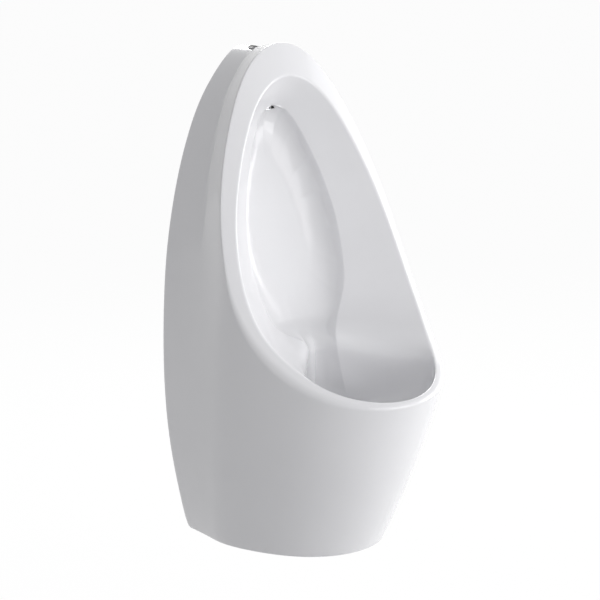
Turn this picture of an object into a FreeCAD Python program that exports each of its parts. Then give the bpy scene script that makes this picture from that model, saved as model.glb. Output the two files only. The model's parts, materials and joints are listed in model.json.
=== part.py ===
"""Wall hung urinal with a top inlet, a concealed lift-out trap and a horizontal outlet.

Millimetres. The origin is the centre of the outlet on the wall plane, +X is to the right seen
from the front, -Y points out of the wall and +Z is up. Heights in the values below are measured
from the underside of the china, and depths from the wall plane.
"""
import FreeCAD, Part
import math
import os

os.makedirs("parts", exist_ok=True)
Vec = FreeCAD.Vector

# ---- china, outside ----
OUTLET_HEIGHT = 95.0        # outlet centre above the underside
TOTAL_HEIGHT = 700.0        # top of the rim above the underside
DRAWN_HEIGHT = 700.0        # total height for which the heights of the outlines are drawn
SHELL_WALL = 10.0           # thickness of the shroud
BOWL_WALL = 10.0            # thickness of the bowl
RIM_WALL = 12.0             # thickness behind the rim's face
# outline on the wall: half width, height; the last point lies below the underside, which cuts it
WALL_OUTLINE = [(0, 693), (32, 677), (62, 645), (93, 596), (117, 536), (134, 474), (145, 415),
                (151.5, 347), (154, 270), (152, 205), (145, 140), (131, 70), (112, 0), (86, -70)]
# widest line of the front half: half width, height; it is the rim's edge down to RIM_END
BELT_OUTLINE = [(0, 700), (43, 688), (76, 660), (113, 604), (141, 543), (162, 476), (173.5, 415),
                (176, 347), (172.5, 270), (166, 205), (156.5, 140), (141, 70), (124, 0),
                (100, -70)]
RIM_END = 400.0             # below this height the belt runs on the side of the body
BELT_DEPTH_HIGH = 155.0     # belt depth just below RIM_END
BELT_DEPTH_LOW = 75.0       # belt depth at the underside
NOSE_DEPTH_LOW = 247.0      # depth of the body at the underside
NOSE_DEPTH_LIP = 337.0      # depth of the body at the lip
CREASE_DEPTH_TOP = 40.0     # where the rim starts to flare out, at the top
CREASE_SLOPE = 0.178        # how fast that line moves forward going down
FLARE_UPPER = 0.05          # share of the flare reached at the crease, top
FLARE_LOWER = 0.55          # the same further down
FLARE_END = 0.625           # share of the height, from the top, where that is reached
CREASE_LIMIT = 0.6          # most that the crease's depth may be of the belt's
BELT_FALL = 1.3             # how the belt runs back below RIM_END
NOSE_SWELL = 0.25           # roundness of the front line between the underside and the lip
NOSE_ROUNDNESS = 2.1        # exponent of the plan curve of the front half
NOSE_STEPS = 4              # points of a row between the belt and the nose line
ROW_POINTS = 14             # even points along each row of the skin

# ---- china, face of the rim ----
FACE_DEPTH_TOP = 80.0       # depth of the face at the top of the rim
FACE_CROWN = 0.0013         # depth lost with the square of the half width
LIP_DRAWN = 236.0           # height of the opening's lowest point, as drawn
LIP_RIM = 9.7               # depth of the rim's face at the lip
LIP_KICK = 71.0             # extra depth at the lip
LIP_POWER = 8               # how suddenly the lip kicks forward
FACE_TOOL_WIDTH = 240.0     # the face is drawn this far to each side
FACE_TOOL_OVER = 60.0       # and this far above the rim
FACE_TOOL_SHARES = [0, 0.17, 0.34, 0.52, 0.69, 0.8, 0.88, 0.945, 0.99, 1.022, 1.05]
REACH = 500.0               # far enough to pass right through the body

# ---- china, inside ----
# edge of the niche and edge of the opening, paired: half width, height, half width, height
BOWL_ROWS = [(0, 612, 0, 656), (22, 604, 50, 637), (42, 578, 90, 590), (64, 533, 121, 530),
             (80, 485, 143, 468), (89, 430, 154, 412), (88, 380, 157, 368),
             (76, 340, 151, 320), (55, 303, 125, 275), (28, 278, 73, 245), (0, 268, 0, 236)]
OPENING_MIDDLE = 440.0      # height from which walls are thickened outwards, as drawn
NICHE_EDGE_DEPTH = 66.0     # depth of the niche's edge at its top
NICHE_SLOPE = 0.231         # depth gained for each millimetre down
FUNNEL_REACH = 150.0        # depth, level with the rim's top, of the plane where the flare ends
FUNNEL_LEAN = 0.5           # depth that this plane gains for each millimetre down
NICHE_RECESS = 36.0         # how far the niche goes back from its edge
# steps of the niche going back: share of its recess, size of its outline
NICHE_STEPS = [(-0.25, 1.0), (0.0, 1.0), (0.45, 0.95), (0.8, 0.82), (1.0, 0.6)]
DRAIN_DEPTH = 180.0         # drain centre from the wall
# level sections of the bowl: height, depth of the back, half width and depth of the corner
# beside the channel, half width and depth of the side, depth of the front; the depths are
# shares of the way from the drain's centre to the lip
BOWL_RINGS = [(165, -0.274, 34, -0.191, 50, 0.04, 0.33),
              (171, -0.274, 44, -0.153, 74, 0.166, 0.535),
              (186, -0.267, 52, -0.115, 98, 0.293, 0.713),
              (208, -0.261, 49, -0.102, 113, 0.369, 0.841),
              (236, -0.255, 40, -0.102, 123, 0.382, 0.925),
              (270, -0.248, 31, -0.102, 131, 0.382, 0.99),
              (300, -0.325, 44, -0.21, 142, 0.28, 1.0),
              (335, -0.39, 64, -0.28, 145, 0.11, 1.0)]
# tongue down the middle of the bowl's back: height, depth of its front, as such a share
TONGUE_ROWS = [(155, -0.31), (175, -0.25), (190, -0.226), (270, -0.225), (290, -0.27),
               (305, -0.37)]
# inner front of the bowl: share of the side's half width, share of the way to the front
NOSE_PLAN = [(0.85, 0.38), (0.41, 0.86)]
TONGUE_HALF_WIDTH = 15.0
TONGUE_HALF_DEPTH = 20.0

# ---- fixing ----
BAR_DROP = 198.0            # from the rim's top to the underside of the hanging bar
BAR_RISE = 30.0
BAR_THICK = 11.0
BAR_GAP = 4.0               # from the wall to the bar
HANGER_SPACING = 150.0      # between the two hangers
HANGER_WIDTH = 40.0
HANGER_DROP = 70.0          # how far the plate goes down below the ledge
PLATE_THICK = 3.0
HANGER_LIP = 15.0           # how far the lip stands up above the ledge
SCREW_HOLE_R = 4.5
SCREW_SPACING = 40.0        # between the two screw holes of one hanger
SCREW_EDGE = 15.0           # from the plate's lower edge to its lower hole
PAD_THICK = 2.0
LUG_HEIGHT = 45.0           # lower fixing holes above the underside
LUG_SPACING = 190.0
LUG_SIZE = 34.0
LUG_THICK = 12.0
LUG_HOLE_R = 7.0
SLEEVE_BORE_R = 4.25
SLEEVE_FLANGE_R = 11.0
SLEEVE_FLANGE = 2.0

# ---- inlet ----
INLET_DEPTH = 37.0          # inlet centre from the wall
INLET_HOLE_R = 15.5
INLET_BORE_R = 9.5          # for a 19 mm flush pipe
SOCKET_R = 9.8              # bore round the flush tube's ends
INLET_SEAT_DROP = 28.0      # from the rim's top to the flat seat inside the shroud
INLET_BOSS_R = 22.0
SEAL_TOP_DROP = 9.0
SEAL_BELOW = 6.0            # below the collar
SEAL_COLLAR_R = 20.0
SEAL_COLLAR = 4.0
TUBE_WALL = 1.5
TUBE_BEND_R = 15.0
TUBE_INSERT = 11.0          # pushed into the seal and into the spreader
SPREADER_DEPTH = 46.0       # spreader centre from the wall
SPREADER_RISE = 4.0         # flat seat above the top of the niche
SPREADER_CEILING = 8.0      # china thickness at the spreader
SPREADER_POCKET = 14.0      # how far the seat is sunk into the niche's ceiling
SPREADER_BOSS_R = 22.0
SPREADER_SHANK_R = 11.5
SPREADER_SPARE = 3.0        # thread left above the nut
SPREADER_FLANGE_R = 15.0
SPREADER_FLANGE = 3.0
SPREADER_NOSE = 6.0
SPREADER_NOSE_R = 12.0
SPREADER_FLOOR = 1.0        # thickness under the nozzle's bore
SPREADER_JETS = 7
SPREADER_JET_R = 1.5
SPREADER_NUT_R = 18.0
SPREADER_NUT = 7.0
GASKET = 2.0

# ---- waste ----
DRAIN_HOLE_R = 32.0
COLLAR_RECESS_R = 41.0
COLLAR_RECESS = 6.0
COLLAR_FLANGE_R = 39.0
COLLAR_FLANGE = 3.0
COLLAR_SLEEVE_R = 30.0
COLLAR_BORE_R = 27.0
COLLAR_LENGTH = 34.0        # below the flange
LEDGE_DROP = 9.0            # from the collar's flange down to the ledge
LEDGE_THICK = 3.0
LEDGE_R = 23.5
FLOOR_BOSS = 14.0           # china thickness round the drain
FLOOR_BOSS_R = 50.0
CUP_R = 42.0
CUP_WALL = 3.0
CUP_BOTTOM = 18.0
CUP_FLOOR = 4.0
CUP_FLANGE_R = 47.0
CUP_FLANGE = 5.0
CUP_NECK = 29.0
INSERT_R = 20.0             # dip tube
INSERT_WALL = 2.0
INSERT_BOTTOM = 40.0
INSERT_FLANGE = 3.0
INSERT_GRIP = 4.0
SEAL_RING = 1.5
STRAINER_DISC = 1.5
STRAINER_HOLE_R = 2.6
STRAINER_RINGS = ((10.0, 8), (18.0, 14))    # hole circle radius, holes
STRAINER_KNOB_R = 4.0
STRAINER_KNOB = 5.0
PLUG_R = 20.0
PLUG_HEAD_R = 26.0
PLUG_HEAD = 5.0
PLUG_TAB = 4.0
OUTLET_R = 25.0             # 50 mm pipe
OUTLET_FREE = 98.0          # length of the pipe between the wall and the nut
SPIGOT_R = 24.6             # pipe end inside the nut and the stub
OUTLET_WALL = 2.0
OUTLET_INSERT = 18.0        # pushed into the cup's stub
STUB_LENGTH = 26.0          # from the cup's side
STUB_WALL = 4.0
NUT_WALL = 5.0
NUT_LENGTH = 20.0
NUT_LIP = 4.0
NUT_RIBS = 12
CONE_SEAL = 6.0

SCREWED = 0.2               # clearance between parts that screw or slide together
PUSH = 0.1                  # clearance between parts that are pushed together
OVER = 1.0                  # how far a cut runs past the face that it opens

# ---- heights and depths that follow ----
STRETCH = TOTAL_HEIGHT / DRAWN_HEIGHT
LIP_HEIGHT = LIP_DRAWN * STRETCH
BELT_TURN = RIM_END * STRETCH
MIDDLE = OPENING_MIDDLE * STRETCH
WALL_LINE = [(width, height * STRETCH) for width, height in WALL_OUTLINE]
BELT_LINE = [(width, height * STRETCH) for width, height in BELT_OUTLINE]
EDGES = [(niche_width, niche_height * STRETCH, width, height * STRETCH)
         for niche_width, niche_height, width, height in BOWL_ROWS]
RINGS = [(ring[0] * STRETCH,) + ring[1:] for ring in BOWL_RINGS]
FACE_SLOPE = (NOSE_DEPTH_LIP - LIP_RIM - LIP_KICK - FACE_DEPTH_TOP) / (TOTAL_HEIGHT - LIP_HEIGHT)
NICHE_TOP = EDGES[0][1]
BOWL_FLOOR = RINGS[0][0]
BAR_HEIGHT = TOTAL_HEIGHT - BAR_DROP
INLET_SEAT = TOTAL_HEIGHT - INLET_SEAT_DROP
SEAL_TOP = TOTAL_HEIGHT - SEAL_TOP_DROP
SPREADER_SEAT = NICHE_TOP + SPREADER_RISE
TUBE_R = SOCKET_R - PUSH
SEAL_BOTTOM = INLET_SEAT - SEAL_COLLAR - SEAL_BELOW
BOSS_TOP = SPREADER_SEAT + SPREADER_CEILING
SHANK_TOP = BOSS_TOP + GASKET + SPREADER_NUT + SPREADER_SPARE
FLANGE_TOP = SPREADER_SEAT - GASKET
RECESS_FLOOR = BOWL_FLOOR - COLLAR_RECESS
COLLAR_SEAT = RECESS_FLOOR + GASKET
LEDGE_TOP = COLLAR_SEAT - LEDGE_DROP
INSERT_SEAT = LEDGE_TOP + SEAL_RING
STRAINER_SEAT = INSERT_SEAT + INSERT_FLANGE
BOSS_UNDER = BOWL_FLOOR - FLOOR_BOSS
CUP_TOP = BOSS_UNDER - GASKET
STUB_END = DRAIN_DEPTH - CUP_R - STUB_LENGTH
STUB_R = SPIGOT_R + SCREWED + STUB_WALL
LEDGE_HEIGHT = BAR_HEIGHT - PAD_THICK


def up(height):
    """Turn a height above the underside into Z."""
    return height - OUTLET_HEIGHT


def cylinder(radius, low, high, depth=0.0, x=0.0):
    """Vertical cylinder between two heights, its axis at a depth from the wall."""
    return Part.makeCylinder(radius, high - low, Vec(x, -depth, up(low)), Vec(0, 0, 1))


def ring(outer, inner, low, high, depth=0.0, x=0.0):
    """Vertical ring between two heights."""
    return cylinder(outer, low, high, depth, x).cut(cylinder(inner, low - 1, high + 1, depth, x))


def along_y(radius, near, far, x, height):
    """Cylinder along Y between two depths."""
    return Part.makeCylinder(radius, far - near, Vec(x, -near, up(height)), Vec(0, -1, 0))


def ring_y(outer, inner, near, far, x=0.0, height=OUTLET_HEIGHT):
    """Ring along Y between two depths."""
    return along_y(outer, near, far, x, height).cut(along_y(inner, near - 1, far + 1, x, height))


def box(x0, x1, near, far, low, high):
    """Box from two sides, two depths and two heights."""
    return Part.makeBox(x1 - x0, far - near, high - low, Vec(x0, -far, up(low)))


def hexagon(across, low, high, depth):
    """Vertical hexagonal prism with a given distance across its corners."""
    corners = [Vec(across * math.cos(k * math.pi / 3), -depth + across * math.sin(k * math.pi / 3),
                   up(low)) for k in range(7)]
    return Part.Face(Part.makePolygon(corners)).extrude(Vec(0, 0, high - low))


def face_depth(half_width, height):
    """Depth of the rim's face at a half width and a height."""
    down = TOTAL_HEIGHT - height
    kick = LIP_KICK * (max(down, 0.0) / (TOTAL_HEIGHT - LIP_HEIGHT)) ** LIP_POWER
    return FACE_DEPTH_TOP + FACE_SLOPE * down + kick - FACE_CROWN * half_width ** 2


def blend(first, last, share):
    """Value a share of the way between two values."""
    return first + (last - first) * share


def shrink(half_width, height, inset):
    """Move a point of a frontal outline towards the middle of the body."""
    middle = TOTAL_HEIGHT / 2
    widest = max(width for width, _ in BELT_LINE)
    lift = max(height - middle, 0.0) / middle
    return half_width * (1 - inset / widest), height - inset * lift


def flip(points):
    """Mirror images of points on the other side of the body."""
    return [Vec(-p.x, p.y, p.z) for p in points]


def skin_row(wall, belt, inset, back):
    """Points of the left half of the shroud, from the wall round to the middle of the front."""
    wall_width, wall_height = shrink(wall[0], wall[1], inset)
    belt_width, belt_height = shrink(belt[0], belt[1], inset)
    share = 1 - belt[1] / TOTAL_HEIGHT
    if belt[1] > BELT_TURN:
        belt_depth = face_depth(*belt)
    else:
        belt_depth = blend(BELT_DEPTH_HIGH, BELT_DEPTH_LOW, (1 - belt[1] / BELT_TURN) ** BELT_FALL)
    rise = min(belt[1], BELT_TURN) / LIP_HEIGHT
    swell = rise * (1 + NOSE_SWELL * (1 - rise))
    nose = blend(NOSE_DEPTH_LOW, NOSE_DEPTH_LIP, swell) - inset
    crease = CREASE_DEPTH_TOP + CREASE_SLOPE * (TOTAL_HEIGHT - belt[1])
    crease = min(crease, CREASE_LIMIT * belt_depth)
    flare = blend(FLARE_UPPER, FLARE_LOWER, min(1.0, share / FLARE_END))
    stations = [(-back, 0.0), (crease, flare), ((crease + belt_depth) / 2, (1 + flare) / 2),
                (belt_depth, 1.0)]
    points = [Vec(-blend(wall_width, belt_width, part), -depth,
                  up(blend(wall_height, belt_height, part))) for depth, part in stations]
    for step in range(1, NOSE_STEPS + 1):
        angle = step / NOSE_STEPS * math.pi / 2
        across = belt_width * math.cos(angle) ** (2 / NOSE_ROUNDNESS) if step < NOSE_STEPS else 0
        along = (nose - belt_depth) * math.sin(angle) ** (2 / NOSE_ROUNDNESS)
        points.append(Vec(-across, -belt_depth - along, up(belt_height)))
    curve = Part.BSplineCurve()
    curve.interpolate(points)
    return curve.discretize(Number=ROW_POINTS)


def skin_solid(inset=0.0, back=0.0):
    """Whole body inside the shroud's skin, before the face of the rim is cut."""
    rows = [skin_row(wall, belt, inset, back) for wall, belt in zip(WALL_LINE, BELT_LINE)]
    # carried on past the top line and the nose line as mirror images, so both lines are smooth
    round_nose = [row + flip(row[-2::-1]) for row in rows]
    over_top = [flip(row) for row in round_nose[:0:-1]] + round_nose
    surface = Part.BSplineSurface()
    surface.interpolate(over_top)
    u_first, u_last, v_first, v_last = surface.bounds()
    surface.segment((u_first + u_last) / 2, u_last, v_first, (v_first + v_last) / 2)
    left = surface.toShape()
    right = left.mirror(Vec(0, 0, 0), Vec(1, 0, 0))
    floor_z = rows[-1][0].z
    wall_y = rows[0][0].y
    caps = []
    for where, value in (("y", wall_y), ("z", floor_z)):
        edges = [edge for half in (left, right) for edge in half.Edges
                 if all(abs(getattr(v.Point, where) - value) < 1e-6 for v in edge.Vertexes)
                 and abs(getattr(edge.CenterOfMass, where) - value) < 1e-4]
        ends = sorted((v.Point for edge in edges for v in edge.Vertexes), key=lambda p: p.x)
        closing = [] if where == "z" else [Part.makeLine(ends[0], ends[-1])]
        if where == "z":
            wall_ends = sorted((p for p in ends if abs(p.y - wall_y) < 1e-6), key=lambda p: p.x)
            closing = [Part.makeLine(wall_ends[0], wall_ends[-1])]
        caps.append(Part.Face(Part.Wire(Part.__sortEdges__(edges + closing))))
    shell = Part.makeShell([left.Faces[0], right.Faces[0]] + caps)
    shell.sewShape()
    return Part.makeSolid(shell)


def face_tool(back=0.0):
    """Everything in front of the rim's face, or of the same surface moved back."""
    widths = [x * FACE_TOOL_WIDTH / 3 for x in range(-3, 4)]
    heights = [TOTAL_HEIGHT + FACE_TOOL_OVER]
    heights += [blend(TOTAL_HEIGHT, LIP_HEIGHT, share) for share in FACE_TOOL_SHARES]
    rows = [[Vec(x, back - face_depth(x, height), up(height)) for x in widths]
            for height in heights]
    surface = Part.BSplineSurface()
    surface.interpolate(rows)
    return surface.toShape().extrude(Vec(0, -REACH, 0))


def closed_curve(half):
    """Closed curve through the points of a left half and their mirror images."""
    curve = Part.BSplineCurve()
    curve.interpolate(Points=half + flip(half[-2:0:-1]), PeriodicFlag=True)
    return Part.Wire(curve.toShape())


def paired_curve(half):
    """Closed wire of a left half, square to the middle at both ends, and its mirror image."""
    curve = Part.BSplineCurve()
    curve.interpolate(Points=half, InitialTangent=Vec(-1, 0, 0), FinalTangent=Vec(1, 0, 0))
    left = curve.toShape()
    return Part.Wire([left, left.mirror(Vec(0, 0, 0), Vec(1, 0, 0))])


def niche_depth(height):
    """Depth of the sloping plane in which the niche's edge lies."""
    return NICHE_EDGE_DEPTH + NICHE_SLOPE * (NICHE_TOP - height)


def spread(point, grow):
    """Move a point away from the middle of the opening, and back by half as much."""
    out = Vec(point.x, 0, point.z - up(MIDDLE))
    return point + out.normalize() * grow + Vec(0, grow / 2, 0)


def funnel(grow=0.0):
    """Flared space from the niche's edge out through the opening."""
    near, far = [], []
    for niche_width, niche_height, open_width, open_height in EDGES:
        start = Vec(-niche_width, -niche_depth(niche_height), up(niche_height))
        edge = Vec(-open_width, -face_depth(open_width, open_height), up(open_height))
        start, edge = (spread(point, grow) for point in (start, edge))
        start.y = -niche_depth(start.z + OUTLET_HEIGHT) + grow / 2
        run = edge - start
        short = FUNNEL_REACH + FUNNEL_LEAN * (up(TOTAL_HEIGHT) - start.z) + start.y
        near.append(start)
        far.append(start + run * (short / (FUNNEL_LEAN * run.z - run.y)))
    return Part.makeLoft([closed_curve(near), closed_curve(far)], True, True)


def niche(grow=0.0):
    """Arched recess in the back wall of the bowl."""
    wires = []
    for share, size in NICHE_STEPS:
        half = []
        for width, height, _, _ in EDGES:
            across = width * size
            rise = (height - MIDDLE) * size
            longer = 1 + grow / math.hypot(across, rise)
            level = MIDDLE + rise * longer
            depth = niche_depth(level) - NICHE_RECESS * share - grow * max(share, 0)
            half.append(Vec(-across * longer, -depth, up(level)))
        wires.append(closed_curve(half))
    return Part.makeLoft(wires, True, False)


def forward(share):
    """Depth at a share of the way from the drain's centre to the lip."""
    return blend(DRAIN_DEPTH, NOSE_DEPTH_LIP, share)


def bowl(grow=0.0):
    """Space of the bowl below the opening."""
    wires = []
    low, high = RINGS[0][0], RINGS[-1][0]
    slant = grow * math.sqrt(0.5)
    for height, back, corner, corner_depth, side, side_depth, front in RINGS:
        level = up(height - grow * (high - height) / (high - low))
        inner = (corner + slant, forward(corner_depth) - slant)
        outer = (side + slant, forward(side_depth) - slant)
        near = forward(front) + grow
        half = [(0, forward(back) - grow), inner,
                (blend(inner[0], outer[0], 0.5), blend(inner[1], outer[1], 0.5)), outer]
        half += [(outer[0] * width, blend(outer[1], near, share)) for width, share in NOSE_PLAN]
        wires.append(paired_curve([Vec(-x, -depth, level) for x, depth in half + [(0, near)]]))
    return Part.makeLoft(wires, True, False)


def tongue():
    """Upright tongue down the middle of the bowl's back."""
    wires = []
    for height, front in TONGUE_ROWS:
        wire = Part.Wire(Part.Ellipse(Vec(0, 0, 0), TONGUE_HALF_DEPTH,
                                      TONGUE_HALF_WIDTH).toShape())
        wire.rotate(Vec(0, 0, 0), Vec(0, 0, 1), 90)
        wire.translate(Vec(0, TONGUE_HALF_DEPTH - forward(front), up(height * STRETCH)))
        wires.append(wire)
    return Part.makeLoft(wires, True, False)


def cavity(grow=0.0):
    """The whole inside of the urinal that water reaches, before the tongue is left standing."""
    return funnel(grow).fuse([niche(grow), bowl(grow)])


def china_body():
    """The fired casting."""
    below = box(-REACH, REACH, -REACH, REACH, -REACH, 0)
    outer = skin_solid().cut([face_tool(), below])
    hollow = skin_solid(SHELL_WALL, back=5.0).cut([face_tool(RIM_WALL), cavity(BOWL_WALL)])
    hollow = max(hollow.Solids, key=lambda solid: solid.Volume)
    body = outer.cut(hollow)
    inner = skin_solid(SHELL_WALL / 2)
    bar = box(-REACH, REACH, BAR_GAP, BAR_GAP + BAR_THICK, BAR_HEIGHT, BAR_HEIGHT + BAR_RISE)
    extras = [bar.common(inner)]
    for side in (-1, 1):
        near_x = side * (LUG_SPACING - LUG_SIZE) / 2
        far_x = side * (LUG_SPACING / 2 + LUG_SIZE)
        lug = box(min(near_x, far_x), max(near_x, far_x), 0, LUG_THICK,
                  LUG_HEIGHT - LUG_SIZE / 2, LUG_HEIGHT + LUG_SIZE / 2)
        extras.append(lug.common(inner))
    extras.append(cylinder(INLET_BOSS_R, INLET_SEAT, SEAL_TOP, INLET_DEPTH).common(inner))
    extras.append(cylinder(SPREADER_BOSS_R, SPREADER_SEAT - SPREADER_POCKET - 10, BOSS_TOP,
                           SPREADER_DEPTH))
    extras.append(cylinder(FLOOR_BOSS_R, BOSS_UNDER, BOWL_FLOOR + 2, DRAIN_DEPTH))
    body = body.fuse(extras).cut(cavity().cut(tongue()))
    pocket = SPREADER_SEAT - SPREADER_POCKET
    cuts = [cylinder(SPREADER_FLANGE_R + 1, pocket, SPREADER_SEAT, SPREADER_DEPTH),
            cylinder(SPREADER_SHANK_R + 0.5, pocket, BOSS_TOP + 5, SPREADER_DEPTH),
            cylinder(SPREADER_NUT_R + 1.5, BOSS_TOP, SHANK_TOP + 5, SPREADER_DEPTH),
            cylinder(INLET_HOLE_R, SEAL_BOTTOM, TOTAL_HEIGHT + 10, INLET_DEPTH),
            cylinder(COLLAR_RECESS_R, RECESS_FLOOR, BOWL_FLOOR + 5, DRAIN_DEPTH),
            cylinder(DRAIN_HOLE_R, BOSS_UNDER - 5, BOWL_FLOOR, DRAIN_DEPTH)]
    for side in (-1, 1):
        cuts.append(along_y(LUG_HOLE_R, -5, LUG_THICK + 5, side * LUG_SPACING / 2, LUG_HEIGHT))
    return body.cut(cuts)


def inlet_seal():
    """Rubber seal in the inlet hole, with a collar under the china."""
    shank = cylinder(INLET_HOLE_R - PUSH, SEAL_BOTTOM, SEAL_TOP, INLET_DEPTH)
    collar = cylinder(SEAL_COLLAR_R, INLET_SEAT - SEAL_COLLAR, INLET_SEAT, INLET_DEPTH)
    tube_end = SEAL_BOTTOM + TUBE_INSERT
    return shank.fuse(collar).removeSplitter().cut([
        cylinder(INLET_BORE_R, tube_end, SEAL_TOP + OVER, INLET_DEPTH),
        cylinder(SOCKET_R, SEAL_BOTTOM - OVER, tube_end, INLET_DEPTH)])


def flush_tube():
    """Tube with a small double bend, from the seal down into the spreader."""
    top = SEAL_BOTTOM + TUBE_INSERT
    bottom = SHANK_TOP - TUBE_INSERT
    sideways = SPREADER_DEPTH - INLET_DEPTH
    turn = math.acos(1 - sideways / (2 * TUBE_BEND_R))
    rise = TUBE_BEND_R * math.sin(turn)
    middle = (SEAL_BOTTOM + SHANK_TOP) / 2
    half = turn / 2
    mid_in = (TUBE_BEND_R * (1 - math.cos(half)), TUBE_BEND_R * math.sin(half))

    def point(depth, height):
        return Vec(0, -depth, up(height))

    start = point(SPREADER_DEPTH, bottom)
    first = point(SPREADER_DEPTH, middle - rise)
    between = point(SPREADER_DEPTH - mid_in[0], middle - rise + mid_in[1])
    centre = point(SPREADER_DEPTH - sideways / 2, middle)
    after = point(INLET_DEPTH + mid_in[0], middle + rise - mid_in[1])
    last = point(INLET_DEPTH, middle + rise)
    end = point(INLET_DEPTH, top)
    path = Part.Wire([Part.LineSegment(start, first).toShape(),
                      Part.Arc(first, between, centre).toShape(),
                      Part.Arc(centre, after, last).toShape(),
                      Part.LineSegment(last, end).toShape()])
    tubes = []
    for radius in (TUBE_R, TUBE_R - TUBE_WALL):
        circle = Part.Wire(Part.Circle(start, Vec(0, 0, 1), radius).toShape())
        tubes.append(path.makePipeShell([circle], True, False))
    return tubes[0].cut(tubes[1])


def spreader():
    """Nozzle with a threaded shank, a flange and a nose with jets towards the niche."""
    under = FLANGE_TOP - SPREADER_FLANGE
    body = cylinder(SPREADER_SHANK_R, under, SHANK_TOP, SPREADER_DEPTH)
    body = body.fuse([cylinder(SPREADER_FLANGE_R, under, FLANGE_TOP, SPREADER_DEPTH),
                      cylinder(SPREADER_NOSE_R, under - SPREADER_NOSE, under, SPREADER_DEPTH)])
    stop = SHANK_TOP - TUBE_INSERT
    drill = [cylinder(SOCKET_R, stop, SHANK_TOP + OVER, SPREADER_DEPTH),
             cylinder(TUBE_R - TUBE_WALL, under - SPREADER_NOSE + SPREADER_FLOOR, stop + 1,
                      SPREADER_DEPTH)]
    for k in range(SPREADER_JETS):
        angle = math.radians(-90 + (k - (SPREADER_JETS - 1) / 2) * 180 / SPREADER_JETS)
        drill.append(Part.makeCylinder(SPREADER_JET_R, SPREADER_NOSE_R + 1,
                                       Vec(0, -SPREADER_DEPTH, up(under - SPREADER_NOSE / 2)),
                                       Vec(math.cos(angle), math.sin(angle), 0)))
    return body.removeSplitter().cut(drill)


def spreader_gasket():
    """Rubber ring between the spreader's flange and the ceiling."""
    return ring(SPREADER_FLANGE_R, SPREADER_SHANK_R + PUSH, FLANGE_TOP, SPREADER_SEAT,
                SPREADER_DEPTH)


def spreader_washer():
    """Rubber washer under the nut, above the ceiling."""
    return ring(SPREADER_NUT_R, SPREADER_SHANK_R + PUSH, BOSS_TOP, BOSS_TOP + GASKET,
                SPREADER_DEPTH)


def spreader_nut():
    """Hexagon nut that clamps the spreader."""
    low = BOSS_TOP + GASKET
    nut = hexagon(SPREADER_NUT_R, low, low + SPREADER_NUT, SPREADER_DEPTH)
    return nut.cut(cylinder(SPREADER_SHANK_R + PUSH, low - 1, low + SPREADER_NUT + 1,
                            SPREADER_DEPTH))


def collar_gasket():
    """Rubber ring under the waste collar's flange."""
    return ring(COLLAR_FLANGE_R, COLLAR_SLEEVE_R + SCREWED, RECESS_FLOOR, COLLAR_SEAT, DRAIN_DEPTH)


def waste_collar():
    """Flanged collar that screws down through the drain hole into the trap cup."""
    low = COLLAR_SEAT - COLLAR_LENGTH
    body = cylinder(COLLAR_FLANGE_R, COLLAR_SEAT, COLLAR_SEAT + COLLAR_FLANGE, DRAIN_DEPTH)
    body = body.fuse(cylinder(COLLAR_SLEEVE_R, low, COLLAR_SEAT, DRAIN_DEPTH))
    return body.cut([cylinder(COLLAR_BORE_R, LEDGE_TOP, COLLAR_SEAT + 10, DRAIN_DEPTH),
                     cylinder(LEDGE_R, LEDGE_TOP - LEDGE_THICK - 1, LEDGE_TOP + 1, DRAIN_DEPTH),
                     cylinder(COLLAR_BORE_R, low - 1, LEDGE_TOP - LEDGE_THICK, DRAIN_DEPTH)])


def insert_seal():
    """Ring between the collar's ledge and the insert."""
    return ring(COLLAR_BORE_R - SCREWED, LEDGE_R, LEDGE_TOP, INSERT_SEAT, DRAIN_DEPTH)


def trap_insert():
    """Dip tube that lifts out of the collar by the bar across its mouth."""
    body = ring(COLLAR_BORE_R - SCREWED, INSERT_R - INSERT_WALL, INSERT_SEAT, STRAINER_SEAT,
                DRAIN_DEPTH)
    tube = ring(INSERT_R, INSERT_R - INSERT_WALL, INSERT_BOTTOM, STRAINER_SEAT, DRAIN_DEPTH)
    grip = box(-INSERT_R, INSERT_R, DRAIN_DEPTH - INSERT_GRIP / 2, DRAIN_DEPTH + INSERT_GRIP / 2,
               INSERT_SEAT, STRAINER_SEAT)
    return body.fuse([tube, grip]).removeSplitter()


def strainer():
    """Perforated disc with a knob, loose on top of the insert."""
    top = STRAINER_SEAT + STRAINER_DISC
    disc = cylinder(COLLAR_BORE_R - 2 * SCREWED, STRAINER_SEAT, top, DRAIN_DEPTH)
    disc = disc.fuse(cylinder(STRAINER_KNOB_R, STRAINER_SEAT, top + STRAINER_KNOB, DRAIN_DEPTH))
    holes = []
    for radius, count in STRAINER_RINGS:
        for k in range(count):
            angle = 2 * math.pi * k / count
            holes.append(cylinder(STRAINER_HOLE_R, STRAINER_SEAT - 1, top + 1,
                                  DRAIN_DEPTH + radius * math.sin(angle),
                                  radius * math.cos(angle)))
    return disc.removeSplitter().cut(holes)


def body_gasket():
    """Rubber ring between the china's underside and the trap cup's flange."""
    return ring(CUP_FLANGE_R - 1, DRAIN_HOLE_R, CUP_TOP, BOSS_UNDER, DRAIN_DEPTH)


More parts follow.
